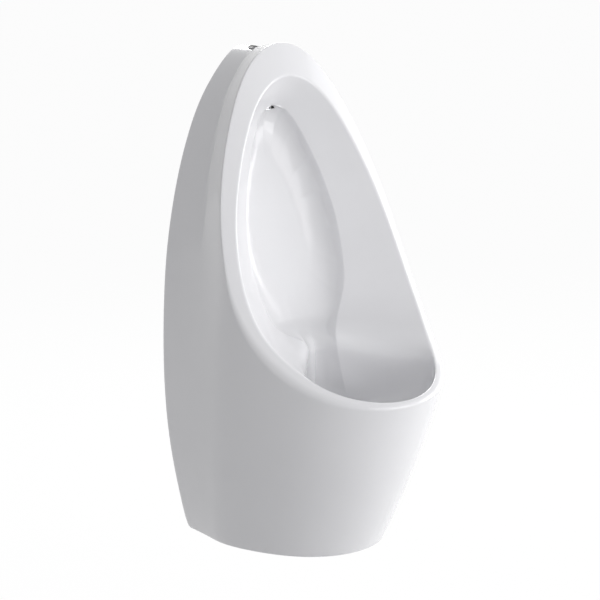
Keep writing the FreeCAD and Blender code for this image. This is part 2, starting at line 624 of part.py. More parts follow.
def trap_cup():
    """Cup of the trap, drawn up under the china, with the outlet stub on its side."""
    solid = cylinder(CUP_R, CUP_BOTTOM, CUP_TOP, DRAIN_DEPTH)
    solid = solid.fuse([cylinder(CUP_FLANGE_R, CUP_TOP - CUP_FLANGE, CUP_TOP, DRAIN_DEPTH),
                        along_y(STUB_R, STUB_END, DRAIN_DEPTH, 0, OUTLET_HEIGHT)])
    neck = CUP_TOP - CUP_NECK
    return solid.cut([cylinder(CUP_R - CUP_WALL, CUP_BOTTOM + CUP_FLOOR, neck, DRAIN_DEPTH),
                      cylinder(COLLAR_SLEEVE_R + SCREWED, neck - 1, CUP_TOP + 1, DRAIN_DEPTH),
                      cylinder(PLUG_R, CUP_BOTTOM - 1, CUP_BOTTOM + CUP_FLOOR + 1, DRAIN_DEPTH),
                      along_y(SPIGOT_R + SCREWED, STUB_END - OVER, DRAIN_DEPTH, 0,
                              OUTLET_HEIGHT)])


def cleaning_plug():
    """Screwed plug in the cup's floor, with a tab to turn it by."""
    seat = CUP_BOTTOM - GASKET
    body = cylinder(PLUG_R - SCREWED, seat, CUP_BOTTOM + CUP_FLOOR, DRAIN_DEPTH)
    head = cylinder(PLUG_HEAD_R, seat - PLUG_HEAD, seat, DRAIN_DEPTH)
    tab = box(-PLUG_R, PLUG_R, DRAIN_DEPTH - 2, DRAIN_DEPTH + 2, seat - PLUG_HEAD - PLUG_TAB,
              seat - PLUG_HEAD)
    return body.fuse([head, tab]).removeSplitter()


def plug_seal():
    """Ring between the plug's head and the cup's floor."""
    return ring(PLUG_HEAD_R - 1, PLUG_R, CUP_BOTTOM - GASKET, CUP_BOTTOM, DRAIN_DEPTH)


def outlet_nut():
    """Ribbed union nut that squeezes the outlet seal round the pipe."""
    thread_r = STUB_R + SCREWED
    lip_depth = STUB_END - CONE_SEAL
    near = lip_depth - NUT_LIP
    far = near + NUT_LENGTH
    body = along_y(thread_r + NUT_WALL - 1, near, far, 0, OUTLET_HEIGHT)
    ribs = []
    for k in range(NUT_RIBS):
        angle = 2 * math.pi * k / NUT_RIBS
        ribs.append(along_y(2.5, near, far, (thread_r + NUT_WALL - 2) * math.cos(angle),
                            OUTLET_HEIGHT + (thread_r + NUT_WALL - 2) * math.sin(angle)))
    return body.fuse(ribs).cut([along_y(thread_r, lip_depth, far + 1, 0, OUTLET_HEIGHT),
                                along_y(OUTLET_R + SCREWED, near - 1, far, 0, OUTLET_HEIGHT)])


def outlet_seal():
    """Rubber ring between the stub's end and the nut's lip."""
    return ring_y(STUB_R - SCREWED, SPIGOT_R + PUSH, STUB_END - CONE_SEAL, STUB_END)


def outlet_pipe():
    """Horizontal pipe from the trap to the wall."""
    free = along_y(OUTLET_R, 0, OUTLET_FREE, 0, OUTLET_HEIGHT)
    spigot = along_y(SPIGOT_R, 0, STUB_END + OUTLET_INSERT, 0, OUTLET_HEIGHT)
    return free.fuse(spigot).cut(along_y(OUTLET_R - OUTLET_WALL, -OVER, DRAIN_DEPTH, 0,
                                         OUTLET_HEIGHT))


def hanger(side):
    """Steel hook plate that is screwed to the wall and carries the hanging bar."""
    x = side * HANGER_SPACING / 2
    left = x - HANGER_WIDTH / 2
    right = x + HANGER_WIDTH / 2
    reach = BAR_GAP + BAR_THICK + (BAR_GAP - PLATE_THICK) + PLATE_THICK
    under = LEDGE_HEIGHT - PLATE_THICK
    low = under - HANGER_DROP
    plate = box(left, right, 0, PLATE_THICK, low, LEDGE_HEIGHT)
    ledge = box(left, right, 0, reach, under, LEDGE_HEIGHT)
    lip = box(left, right, reach - PLATE_THICK, reach, under, LEDGE_HEIGHT + HANGER_LIP)
    body = plate.fuse([ledge, lip]).removeSplitter()
    holes = [along_y(SCREW_HOLE_R, -1, PLATE_THICK + 1, x, low + SCREW_EDGE + k * SCREW_SPACING)
             for k in (0, 1)]
    return body.cut(holes)


def hanger_pads():
    """Rubber pads between the hooks and the hanging bar."""
    pads = []
    for side in (-1, 1):
        x = side * HANGER_SPACING / 2
        pads.append(box(x - HANGER_WIDTH / 2, x + HANGER_WIDTH / 2, PLATE_THICK + PUSH,
                        2 * BAR_GAP + BAR_THICK - PLATE_THICK - PUSH,
                        LEDGE_HEIGHT, BAR_HEIGHT))
    return Part.makeCompound(pads)


def lower_sleeves():
    """Nylon sleeves that keep the wall screws off the china."""
    sleeves = []
    for side in (-1, 1):
        x = side * LUG_SPACING / 2
        shank = along_y(LUG_HOLE_R - PUSH, 0, LUG_THICK, x, LUG_HEIGHT)
        flange = along_y(SLEEVE_FLANGE_R, LUG_THICK, LUG_THICK + SLEEVE_FLANGE, x, LUG_HEIGHT)
        bore = along_y(SLEEVE_BORE_R, -1, LUG_THICK + SLEEVE_FLANGE + 1, x, LUG_HEIGHT)
        sleeves.append(shank.fuse(flange).removeSplitter().cut(bore))
    return Part.makeCompound(sleeves)


def save(name, shape):
    """Write one sub-part."""
    solids = shape.Solids
    if len(solids) == 1:
        shape = solids[0]
    print(name, len(solids), round(shape.Volume / 1000, 1), shape.isValid())
    shape.exportStep("parts/" + name + ".step")


def main():
    """Build every sub-part."""
    save("china_body", china_body())
    for make in (inlet_seal, flush_tube, spreader, spreader_gasket, spreader_washer,
                 spreader_nut, collar_gasket, waste_collar, insert_seal, trap_insert, strainer,
                 body_gasket, trap_cup, cleaning_plug, plug_seal, outlet_nut, outlet_seal,
                 outlet_pipe, hanger_pads, lower_sleeves):
        save(make.__name__, make())
    save("hanger_left", hanger(-1))
    save("hanger_right", hanger(1))


main()
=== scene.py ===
"""Wall hung urinal: finishes, glazed body, fittings, studio and camera.

Metres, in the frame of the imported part: the origin is the centre of the outlet on the wall, +X is
to the right seen from the front, -Y points out of the wall and +Z is up. The body is drawn in
millimetres from its underside and from the wall, as half width, height and depth, and is turned
into metres at the end.
"""

import json
import logging
import math
from dataclasses import dataclass, field
from enum import Enum
from functools import cache

import bpy
import numpy as np
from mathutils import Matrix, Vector
from mathutils.bvhtree import BVHTree

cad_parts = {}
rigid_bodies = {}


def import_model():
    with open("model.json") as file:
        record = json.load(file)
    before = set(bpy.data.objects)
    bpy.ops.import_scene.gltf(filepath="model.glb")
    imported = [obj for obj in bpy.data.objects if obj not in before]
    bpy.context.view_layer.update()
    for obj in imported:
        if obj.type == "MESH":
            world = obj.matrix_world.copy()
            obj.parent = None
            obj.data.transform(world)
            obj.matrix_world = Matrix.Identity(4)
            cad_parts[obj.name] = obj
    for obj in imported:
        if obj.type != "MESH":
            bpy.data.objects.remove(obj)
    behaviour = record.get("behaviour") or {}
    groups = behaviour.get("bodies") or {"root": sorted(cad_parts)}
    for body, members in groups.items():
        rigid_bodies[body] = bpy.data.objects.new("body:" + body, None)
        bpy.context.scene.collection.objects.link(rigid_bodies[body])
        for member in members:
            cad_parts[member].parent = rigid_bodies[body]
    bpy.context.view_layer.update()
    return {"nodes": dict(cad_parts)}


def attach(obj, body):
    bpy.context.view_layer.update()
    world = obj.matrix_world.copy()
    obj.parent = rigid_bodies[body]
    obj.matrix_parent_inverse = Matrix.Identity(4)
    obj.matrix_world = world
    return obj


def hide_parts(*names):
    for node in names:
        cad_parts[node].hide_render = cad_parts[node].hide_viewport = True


LOG = logging.getLogger("urinal")
OUTLET_HEIGHT = 95.0
MM = 0.001
TINY = 1e-6


# ---- finishes
class Surface(Enum):
    """Kinds of surface that a finish can have."""

    GLAZE = "glaze"
    BISQUE = "bisque"
    RUBBER = "rubber"
    METAL = "metal"
    PLASTIC = "plastic"


CLOUD_DETAIL = 4.0
GRAIN_DETAIL = 3.0
RAMP_ENDS = (0.35, 0.65)
BUMP_DEPTH = 0.0005
SHEEN = {
    Surface.GLAZE: {"Coat Weight": 1.0, "Coat Roughness": 0.07, "Coat IOR": 1.45,
                    "Specular IOR Level": 0.2},
    Surface.METAL: {"Metallic": 1.0},
    Surface.PLASTIC: {"Specular IOR Level": 0.45}}


@dataclass(frozen=True)
class Finish:
    """One procedural finish."""

    name: str
    surface: Surface
    colour: tuple[float, float, float]
    second: tuple[float, float, float]
    roughness: float
    spread: float = 0.05
    scale: float = 60.0
    bump: float = 0.02
    bump_scale: float = 400.0
    stretch: tuple[float, float, float] = (1.0, 1.0, 1.0)

    @staticmethod
    def noise(tree: bpy.types.NodeTree, place: bpy.types.NodeSocket, scale: float,
              detail: float) -> bpy.types.NodeSocket:
        """Add a noise texture.

        Args:
            tree: Nodes of the material.
            place: Coordinates that the noise reads.
            scale: Scale of the noise.
            detail: How many finer layers it has.

        Returns:
            The noise as a factor.
        """
        made = tree.nodes.new("ShaderNodeTexNoise")
        made.inputs["Scale"].default_value = scale
        made.inputs["Detail"].default_value = detail
        tree.links.new(place, made.inputs["Vector"])
        return made.outputs["Fac"]

    @cache
    def material(self) -> bpy.types.Material:
        """Build the node material, once for all pieces that have the finish.

        Returns:
            The material.
        """
        made = bpy.data.materials.new(self.name)
        made.use_nodes = True
        tree = made.node_tree
        nodes, links = tree.nodes, tree.links
        shader = nodes["Principled BSDF"]
        mapping = nodes.new("ShaderNodeMapping")
        mapping.inputs["Scale"].default_value = self.stretch
        links.new(nodes.new("ShaderNodeTexCoord").outputs["Object"], mapping.inputs["Vector"])
        place = mapping.outputs["Vector"]
        cloud = self.noise(tree, place, self.scale, CLOUD_DETAIL)
        ramp = nodes.new("ShaderNodeValToRGB")
        ends = zip(ramp.color_ramp.elements, RAMP_ENDS, (self.second, self.colour))
        for end, position, colour in ends:
            end.position = position
            end.color = (*colour, 1.0)
        links.new(cloud, ramp.inputs["Fac"])
        links.new(ramp.outputs["Color"], shader.inputs["Base Color"])
        rough = nodes.new("ShaderNodeMapRange")
        rough.inputs["To Min"].default_value = max(self.roughness - self.spread, 0.0)
        rough.inputs["To Max"].default_value = self.roughness + self.spread
        links.new(cloud, rough.inputs["Value"])
        links.new(rough.outputs["Result"], shader.inputs["Roughness"])
        bump = nodes.new("ShaderNodeBump")
        bump.inputs["Strength"].default_value = self.bump
        bump.inputs["Distance"].default_value = BUMP_DEPTH
        grain = self.noise(tree, place, self.bump_scale, GRAIN_DETAIL)
        links.new(grain, bump.inputs["Height"])
        links.new(bump.outputs["Normal"], shader.inputs["Normal"])
        for socket, value in SHEEN.get(self.surface, {}).items():
            shader.inputs[socket].default_value = value
        return made


GLAZED_CHINA = Finish("glazed_china", Surface.GLAZE, (0.835, 0.835, 0.85), (0.82, 0.82, 0.835),
                      0.34, 0.03, 9.0, 0.004, 90.0)
BARE_CHINA = Finish("bare_china", Surface.BISQUE, (0.76, 0.75, 0.72), (0.70, 0.685, 0.65),
                    0.75, 0.1, 40.0, 0.5, 900.0)
RUBBER = Finish("black_rubber", Surface.RUBBER, (0.030, 0.030, 0.031), (0.020, 0.020, 0.021),
                0.62, 0.1, 120.0, 0.25, 1500.0)
GREY_RUBBER = Finish("grey_rubber", Surface.RUBBER, (0.30, 0.30, 0.31), (0.24, 0.24, 0.25),
                     0.6, 0.1, 120.0, 0.25, 1500.0)
CHROME = Finish("polished_chrome", Surface.METAL, (0.80, 0.81, 0.83), (0.74, 0.75, 0.77),
                0.10, 0.05, 70.0, 0.01, 500.0)
BRASS = Finish("satin_brass", Surface.METAL, (0.76, 0.58, 0.28), (0.66, 0.49, 0.22),
               0.28, 0.1, 90.0, 0.05, 900.0, (1.0, 1.0, 6.0))
STAINLESS = Finish("brushed_stainless", Surface.METAL, (0.66, 0.67, 0.68), (0.56, 0.57, 0.58),
                   0.30, 0.12, 60.0, 0.12, 700.0, (8.0, 1.0, 1.0))
ZINC = Finish("zinc_plate", Surface.METAL, (0.60, 0.62, 0.64), (0.45, 0.47, 0.50),
              0.42, 0.15, 35.0, 0.1, 500.0)
TRAP_PLASTIC = Finish("trap_plastic", Surface.PLASTIC, (0.80, 0.80, 0.78), (0.75, 0.75, 0.73),
                      0.38, 0.08, 50.0, 0.08, 900.0)
PIPE_PLASTIC = Finish("pipe_plastic", Surface.PLASTIC, (0.115, 0.118, 0.125),
                      (0.095, 0.098, 0.105), 0.42, 0.08, 50.0, 0.1, 900.0, (1.0, 0.15, 1.0))
NYLON = Finish("nylon", Surface.PLASTIC, (0.78, 0.76, 0.69), (0.73, 0.71, 0.64),
               0.45, 0.08, 70.0, 0.08, 900.0)


# ---- curves
def smooth_curve(points: np.ndarray, where: np.ndarray, at: np.ndarray) -> np.ndarray:
    """Natural cubic spline through points.

    Args:
        points: Values at the knots, along the first axis.
        where: Rising parameter of each knot.
        at: Parameters at which to read the spline.

    Returns:
        The values read, along the first axis.
    """
    count = len(where)
    flat = points.reshape(count, -1).astype(float)
    gap = np.diff(where)
    matrix = np.eye(count)
    right = np.zeros_like(flat)
    for k in range(1, count - 1):
        matrix[k, k - 1:k + 2] = gap[k - 1], 2 * (gap[k - 1] + gap[k]), gap[k]
        right[k] = 6 * ((flat[k + 1] - flat[k]) / gap[k] - (flat[k] - flat[k - 1]) / gap[k - 1])
    bend = np.linalg.solve(matrix, right)
    cell = np.clip(np.searchsorted(where, at, side="right") - 1, 0, count - 2)
    span = gap[cell][:, None]
    a = (where[cell + 1] - at)[:, None] / span
    b = 1 - a
    read = (a * flat[cell] + b * flat[cell + 1]
            + ((a ** 3 - a) * bend[cell] + (b ** 3 - b) * bend[cell + 1]) * span ** 2 / 6)
    return read.reshape((len(at),) + points.shape[1:])


def lengths(points: np.ndarray) -> np.ndarray:
    """Running length along a line of points, from 0 to 1."""
    run = np.concatenate([[0.0], np.cumsum(np.linalg.norm(np.diff(points, axis=0), axis=-1))])
    return run / run[-1]


def even(points: np.ndarray, count: int) -> np.ndarray:
    """Read a line of points again at even lengths.

    Args:
        points: The line, a point to each row.
        count: How many points to read.

    Returns:
        The points read.
    """
    run = lengths(points)
    at = np.linspace(0.0, 1.0, count)
    return np.stack([np.interp(at, run, points[:, k]) for k in range(points.shape[1])], axis=1)


def mirrored(rows: np.ndarray) -> np.ndarray:
    """Carry rows on past both ends as mirror images, so that the middle is smooth.

    Args:
        rows: Rows whose first and last lie on the middle plane.

    Returns:
        The rows, with three more before them and three after.
    """
    turn = np.ones(rows.shape[-1])
    turn[0] = -1.0
    return np.concatenate([rows[3:0:-1] * turn, rows, rows[-2:-5:-1] * turn])


def across_rows(rows: np.ndarray, where: np.ndarray, at: np.ndarray) -> np.ndarray:
    """Spline through rows whose first and last lie on the middle plane.

    Args:
        rows: The rows.
        where: Rising parameter of each row.
        at: Parameters at which to read the spline.

    Returns:
        The rows read.
    """
    low = 2 * where[0] - where[3:0:-1]
    high = 2 * where[-1] - where[-2:-5:-1]
    return smooth_curve(mirrored(rows), np.concatenate([low, where, high]), at)


def ease(value: np.ndarray) -> np.ndarray:
    """Smooth step from 0 to 1."""
    held = np.clip(value, 0.0, 1.0)
    return held * held * (3 - 2 * held)


# ---- glazed body
@dataclass
class RimFace:
    """Sloping face of the rim, as a depth over half width and height."""

    top_depth: float = 80.0
    slope: float = 0.37996
    crown: float = 0.0013
    kick: float = 71.0
    power: float = 8.0
    top: float = 700.0
    lip: float = 236.0

    def depth(self, width: np.ndarray, height: np.ndarray) -> np.ndarray:
        """Depth of the face from the wall.

        Args:
            width: Half widths at which to read it.
            height: Heights at which to read it.

        Returns:
            The depths.
        """
        down = self.top - height
        kick = self.kick * (np.maximum(down, 0.0) / (self.top - self.lip)) ** self.power
        return self.top_depth + self.slope * down + kick - self.crown * width ** 2


@dataclass
class Shroud:
    """Outer skin, from the wall round to the middle of the front."""

    face: RimFace
    wall: tuple[tuple[float, float], ...] = (
        (0, 693), (32, 677), (62, 645), (93, 596), (117, 536), (134, 474), (145, 415),
        (151.5, 347), (154, 270), (152, 205), (145, 140), (131, 70), (112, 0), (86, -70))
    belt: tuple[tuple[float, float], ...] = (
        (0, 700), (43, 688), (76, 660), (113, 604), (141, 543), (162, 476),
        (173.5, 415), (176, 347), (172.5, 270), (166, 205), (156.5, 140), (141, 70), (124, 0),
        (100, -70))
    turn: float = 400.0
    belt_high: float = 155.0
    belt_low: float = 75.0
    nose_low: float = 247.0
    nose_lip: float = 337.0
    nose_curve: float = 0.25
    belt_curve: float = 1.3
    crease_top: float = 40.0
    crease_slope: float = 0.178
    crease_limit: float = 0.6
    flare_upper: float = 0.05
    flare_lower: float = 0.55
    flare_growth: float = 1.6
    roundness: float = 2.1
    crease_fade: float = 400.0
    crease_spread: float = 110.0
    crease_round: float = 3.5
    crease_blend: float = 22.0
    swap_height: float = 380.0
    rim_step: int = 4
    front_steps: int = 4
    fine_points: int = 900
    around: int = 700
    down: int = 900
    grid: np.ndarray = field(init=False)
    floor: float = field(init=False)

    def row(self, wall: tuple, belt: tuple) -> np.ndarray:
        """One row of the skin.

        Args:
            wall: Half width and height of the row on the wall.
            belt: Half width and height at the back of the rim.

        Returns:
            An even line of points from the wall to the middle of the front.
        """
        share = 1 - belt[1] / self.face.top
        if belt[1] > self.turn:
            depth = float(self.face.depth(belt[0], belt[1]))
        else:
            fall = (1 - belt[1] / self.turn) ** self.belt_curve
            depth = self.belt_high + (self.belt_low - self.belt_high) * fall
        rise = min(belt[1], self.turn) / self.face.lip
        bulge = 1 + self.nose_curve - self.nose_curve * rise
        nose = self.nose_low + (self.nose_lip - self.nose_low) * rise * bulge
        crease = min(self.crease_top + self.crease_slope * (self.face.top - belt[1]),
                     self.crease_limit * depth)
        growth = min(1, share * self.flare_growth)
        flare = self.flare_upper + (self.flare_lower - self.flare_upper) * growth
        stations = [(0, 0), (crease, flare), ((crease + depth) / 2, (1 + flare) / 2), (depth, 1)]
        points = [(wall[0] + (belt[0] - wall[0]) * part, wall[1] + (belt[1] - wall[1]) * part, d)
                  for d, part in stations]
        last = self.front_steps
        for step in range(1, last + 1):
            angle = step * math.pi / (2 * last)
            side = belt[0] * math.cos(angle) ** (2 / self.roundness) if step < last else 0.0
            points.append((side, belt[1],
                           depth + (nose - depth) * math.sin(angle) ** (2 / self.roundness)))
        line = np.array(points)
        both = np.concatenate([line, line[-2::-1] * (-1, 1, 1)])
        run = np.concatenate([[0], np.cumsum(np.linalg.norm(np.diff(both, axis=0), axis=1))])
        fine = smooth_curve(both, run, np.linspace(0, run[-1] / 2, self.fine_points))
        fine[-1, 0] = 0.0
        crisp = float(ease(np.array((belt[1] - self.crease_fade) / self.crease_spread)))
        if crisp > 0:
            fine = self.creased(fine, line[0], line[1], line[3], crisp)
        return even(fine, self.around)

    def creased(self, fine: np.ndarray, start: np.ndarray, crease: np.ndarray,
                belt: np.ndarray, crisp: float) -> np.ndarray:
        """Tighten the bend where the rim flares out of the body.

        Args:
            fine: Row of the skin.
            start: Its point on the wall.
            crease: Point of the bend.
            belt: Point at the back of the rim.
            crisp: How much of the tight bend to take, from 0 to 1.

        Returns:
            The row with the tighter bend.
        """
        deep = fine[:, 2]
        soft = np.interp(deep, [0, crease[2] - self.crease_round, crease[2] + self.crease_round,
                                belt[2]], [0, 0, 1, 1])
        straight = np.zeros_like(fine)
        for k in (0, 1):
            first = start[k] + (crease[k] - start[k]) * deep / crease[2]
            slope = (belt[k] - crease[k]) / (belt[2] - crease[2])
            second = crease[k] + slope * (deep - crease[2])
            straight[:, k] = first + (second - first) * ease(soft)
        near = 1 - ease((deep - belt[2] + self.crease_blend) / self.crease_blend)
        made = fine.copy()
        part = (crisp * near)[:, None]
        made[:, :2] = fine[:, :2] * (1 - part) + straight[:, :2] * part
        return made

    def build(self) -> None:
        """Fill the fine grid of the skin, rows from the top down."""
        rows = np.array([self.row(w, b) for w, b in zip(self.wall, self.belt)])
        steps = np.linalg.norm(np.diff(rows, axis=0), axis=2).mean(axis=1)
        where = np.concatenate([[0.0], np.cumsum(steps)])
        over = rows[3:0:-1] * (-1, 1, 1)
        knots = np.concatenate([-where[3:0:-1], where])
        self.floor = where[-2] / where[-1]
        at = np.linspace(0.0, where[-1], self.down)
        self.grid = smooth_curve(np.concatenate([over, rows]), knots, at)

    def read(self, u: np.ndarray, v: np.ndarray) -> np.ndarray:
        """Read points of the skin.

        Args:
            u: Shares of the way round, from the wall to the middle of the front.
            v: Shares of the way down.

        Returns:
            The points.
        """
        a = np.clip(u, 0, 1) * (self.around - 1)
        b = np.clip(v, 0, 1) * (self.down - 1)
        i = np.minimum(a.astype(int), self.around - 2)
        j = np.minimum(b.astype(int), self.down - 2)
        s, t = (a - i)[..., None], (b - j)[..., None]
        g = self.grid
        return ((g[j, i] * (1 - s) + g[j, i + 1] * s) * (1 - t)
                + (g[j + 1, i] * (1 - s) + g[j + 1, i + 1] * s) * t)

    def rim_line(self) -> np.ndarray:
        """Line where the face cuts the skin, from the top to the lip.

        Returns:
            Pairs of shares, round and down.
        """
        ahead = self.grid[..., 2] - self.face.depth(self.grid[..., 0], self.grid[..., 1])
        line = []
        swap = int(np.argmin(abs(self.grid[:, 0, 1] - self.swap_height)))
        for j in range(0, swap, self.rim_step):
            i = int(np.argmax(ahead[j] >= 0))
            part = ahead[j, i - 1] / (ahead[j, i - 1] - ahead[j, i])
            line.append(((i - 1 + part) / (self.around - 1), j / (self.down - 1)))
        first = int(line[-1][0] * (self.around - 1)) + 2
        for i in list(range(first, self.around - 1, self.rim_step)) + [self.around - 1]:
            column = ahead[swap // 2:, i]
            j = int(np.argmax(column < 0))
            part = column[j - 1] / (column[j - 1] - column[j])
            line.append((i / (self.around - 1), (swap // 2 + j - 1 + part) / (self.down - 1)))
        return np.array(line)


@dataclass
class Basin:
    """Inside of the body: flared sides, niche, channel with its tongue, and floor."""

    face: RimFace
    niche: tuple[tuple[float, float], ...] = (
        (0, 612), (22, 604), (42, 578), (64, 533), (80, 485), (89, 430), (88, 380), (76, 340),
        (55, 303), (28, 278), (0, 268))
    # height, depth of the channel's back, depth of the tongue's front
    channel: tuple[tuple[float, float, float], ...] = (
        (155, 137.0, 131.0), (171, 137.0, 140.0), (186, 138.1, 144.4), (208, 139.0, 145.0),
        (236, 140.0, 145.4), (270, 141.1, 145.6), (290, 134.0, 140.0), (305, 127.5, 122.0),
        (335, 118.8, 100.0))
    flat_share: float = 0.5
    hollow_power: float = 2.5
    tongue_width: float = 15.0
    tongue_deep: float = 20.0
    tongue_round: float = 0.5
    niche_top: float = 612.0
    niche_edge: float = 66.0
    niche_slope: float = 0.231
    recess: float = 36.0
    niche_middle: float = 440.0
    blend_height: float = 312.0
    blend_reach: float = 34.0
    drain_depth: float = 180.0
    drain_radius: float = 41.0
    floor: float = 165.0
    # opening edge, two points of the wall and the crisp edge behind it, then the middle line
    rows: tuple[tuple, ...] = (
        ((0, 656), None, None, (0, 612, 66.0), 585),
        ((50, 637), None, None, (22, 604, 67.8), 570),
        ((90, 590), None, None, (42, 578, 73.9), 545),
        ((121, 530), None, None, (64, 533, 84.2), 512),
        ((143, 468), None, None, (80, 485, 95.3), 478),
        ((154, 412), None, None, (89, 430, 108.0), 440),
        ((157, 368), None, None, (88, 380, 119.6), 402),
        ((151, 320), None, None, (76, 340, 128.8), 365),
        ((140, 296), None, None, (57, 308, 137.0), 330),
        ((125, 275), (97, 272, 223), (62, 274, 190), (30, 288, 161), 297),
        ((106, 259), (110, 232, 248), (76, 232, 198), (33, 252, 165), 258),
        ((86, 249), (103, 205, 258), (79, 203, 200), (42, 217, 166), 219),
        ((62, 242), (82, 186, 264), (72, 181, 206), (48, 186, 167), 184),
        ((42, 238.6), (60, 184, 279), (55, 168, 218), (44, 168, 178), 165),
        ((20, 236.6), (28, 188, 293), (28, 169, 246), (34, 165.4, 209), 165),
        ((0, 236), (0, 189, 297), (0, 169, 254), (0, 165.4, 226), 165))
    back_rows: int = 12
    columns: int = 260
    wall_points: int = 40
    wall_detail: int = 4
    fine_points: int = 2000
    back_points: int = 48

    def niche_depth(self, height: np.ndarray) -> np.ndarray:
        """Depth of the leaning plane of the niche's edge."""
        return self.niche_edge + self.niche_slope * (self.niche_top - height)

    def back_depth(self, width: np.ndarray, height: np.ndarray, edge_width: np.ndarray,
                   edge_depth: np.ndarray) -> np.ndarray:
        """Depth of the back: the niche above, the channel and its tongue below.

        Args:
            width: Half widths of the points.
            height: Heights of the points.
            edge_width: Half width of the crisp edge beside each point.
            edge_depth: Depth of that edge.

        Returns:
            The depths from the wall.
        """
        outline = np.array(self.niche, float)
        angles = np.arctan2(outline[:, 1] - self.niche_middle, outline[:, 0])
        radii = np.hypot(outline[:, 0], outline[:, 1] - self.niche_middle)
        angle = np.arctan2(height - self.niche_middle, width)
        reach = np.interp(angle, angles[::-1], radii[::-1])
        size = np.clip(np.hypot(width, height - self.niche_middle) / reach, 0, 1)
        outer = np.clip((size - self.flat_share) / (1 - self.flat_share), 0, 1)
        niche = self.niche_depth(height) - self.recess * np.sqrt(1 - outer ** 2)
        levels, backs, fronts = np.array(self.channel, float).T
        base = np.interp(height, levels, backs)
        part = np.abs(width) / np.maximum(edge_width, 1.0)
        base = base + (edge_depth - base) * part ** self.hollow_power
        bulge = np.clip(np.abs(width) / self.tongue_width, 0, 1) ** 2
        ridge = np.interp(height, levels, fronts) - self.tongue_deep * (1 - np.sqrt(1 - bulge))
        gap = ridge - base
        held = np.clip(0.5 + gap / (2 * self.tongue_round), 0, 1)
        channel = base + gap * held + self.tongue_round * held * (1 - held)
        low = ease((self.blend_height - height) / self.blend_reach)
        return niche * (1 - low) + channel * low

    def build(self) -> tuple[np.ndarray, np.ndarray, np.ndarray]:
        """Lay out the inside in columns from the top round to the lip.

        Returns:
            The opening edge, the wall lines from it to the crisp edge, and the back lines from
            there to the middle or the drain.
        """
        edge, wall_a, wall_b, crisp, middle = [], [], [], [], []
        for opening, first, second, behind, low in self.rows:
            start = np.array([*opening, float(self.face.depth(*opening))])
            behind = np.array(behind, float)
            edge.append(start)
            wall_a.append(first if first else start + (behind - start) / 3)
            wall_b.append(second if second else start + (behind - start) * 2 / 3)
            crisp.append(behind)
            middle.append((0.0, float(low)))
        edge, wall_a, wall_b, crisp, middle = (
            np.array(line, float) for line in (edge, wall_a, wall_b, crisp, middle))
        rows = np.arange(len(edge), dtype=float)
        fine = np.linspace(0, len(edge) - 1, self.fine_points)
        run = np.interp(rows, fine, lengths(across_rows(edge, rows, fine)))
        at = np.linspace(0.0, 1.0, self.columns)
        opening = across_rows(edge, run, at)
        opening[:, 2] = self.face.depth(opening[:, 0], opening[:, 1])
        knots = np.stack([across_rows(line, run, at) for line in (wall_a, wall_b, crisp)])
        knots[:, [0, -1], 0] = 0.0
        walls = smooth_curve(np.stack([opening, *knots]), np.linspace(0, 1, 4),
                             np.linspace(0, 1, self.wall_points * self.wall_detail))
        crisp_line = knots[2]
        centre = across_rows(middle, run, at)[:, 1]
        backs = np.zeros((self.back_points, self.columns, 3))
        share = np.linspace(0, 1, self.back_points)[:, None]
        backs[..., 0] = crisp_line[:, 0] * (1 - share)
        backs[..., 1] = crisp_line[:, 1] * (1 - share) + centre * share
        backs[..., 2] = self.back_depth(backs[..., 0], backs[..., 1], crisp_line[None, :, 0],
                                        crisp_line[None, :, 2])
        begin = run[self.back_rows]
        turn = np.clip((at - begin) / (1 - begin), 0, 1) * math.pi
        ring = np.stack([self.drain_radius * np.sin(turn), np.full_like(turn, self.floor),
                         self.drain_depth - self.drain_radius * np.cos(turn)], axis=1)
        floor = crisp_line[None] * (1 - share[..., None]) + ring[None] * share[..., None]
        mix = ease((at - run[self.back_rows - 1]) / (begin - run[self.back_rows - 1]))
        backs = backs * (1 - mix)[None, :, None] + floor * mix[None, :, None]
        backs[0] = crisp_line
        return opening, walls, backs


@dataclass(frozen=True)
class Hole:
    """Round upright hole through the glazed front, on the middle plane."""

    out: float
    radius: float
    above: float
    below: float
    reach: float
    core: float
    neighbours: int = 9

    def open(self, spots: np.ndarray, faces: list) -> list:
        """Spread the points round the hole and drop the faces in it.

        Args:
            spots: Points of the mesh, in metres, moved where they are near the hole.
            faces: Faces of the mesh.

        Returns:
            The faces that are left.
        """
        centre = np.array((0.0, -self.out))
        away = spots[:, :2] - centre
        far = np.maximum(np.linalg.norm(away, axis=1), TINY)
        high = (spots[:, 2] > self.above) & (spots[:, 2] < self.below)
        lost = high & (far < self.core)
        kept = [face for face in faces if not all(lost[v] for v in face)]
        moved = np.flatnonzero(high & (far < self.reach))
        share = np.clip((far[moved] - self.core) / (self.reach - self.core), 0, 1)
        wide = self.radius + (self.reach - self.radius) * share
        before = spots[moved].copy()
        spots[moved, :2] = centre + away[moved] * (wide / far[moved])[:, None]
        if self.reach > self.radius:
            around = np.flatnonzero(high & (far < 2 * self.reach))
            known = np.concatenate([before, spots[np.setdiff1d(around, moved)]])
            for v in moved:
                step = known[:, :2] - spots[v, :2]
                near = np.argsort((step ** 2).sum(axis=1))[:self.neighbours]
                flat = np.column_stack([step[near], np.ones(len(near))])
                spots[v, 2] = np.linalg.lstsq(flat, known[near, 2], rcond=None)[0][2]
        return kept


@dataclass(frozen=True)
class Bore:
    """Upright bore of the solid, on the middle plane, at which its front skin ends."""

    out: float
    radius: float
    above: float = -math.inf
    below: float = math.inf

    def holds(self, spots: np.ndarray) -> np.ndarray:
        """Tell which points, in metres, lie in the bore."""
        away = np.hypot(spots[:, 0], spots[:, 1] + self.out)
        return (away < self.radius) & (spots[:, 2] > self.above) & (spots[:, 2] < self.below)


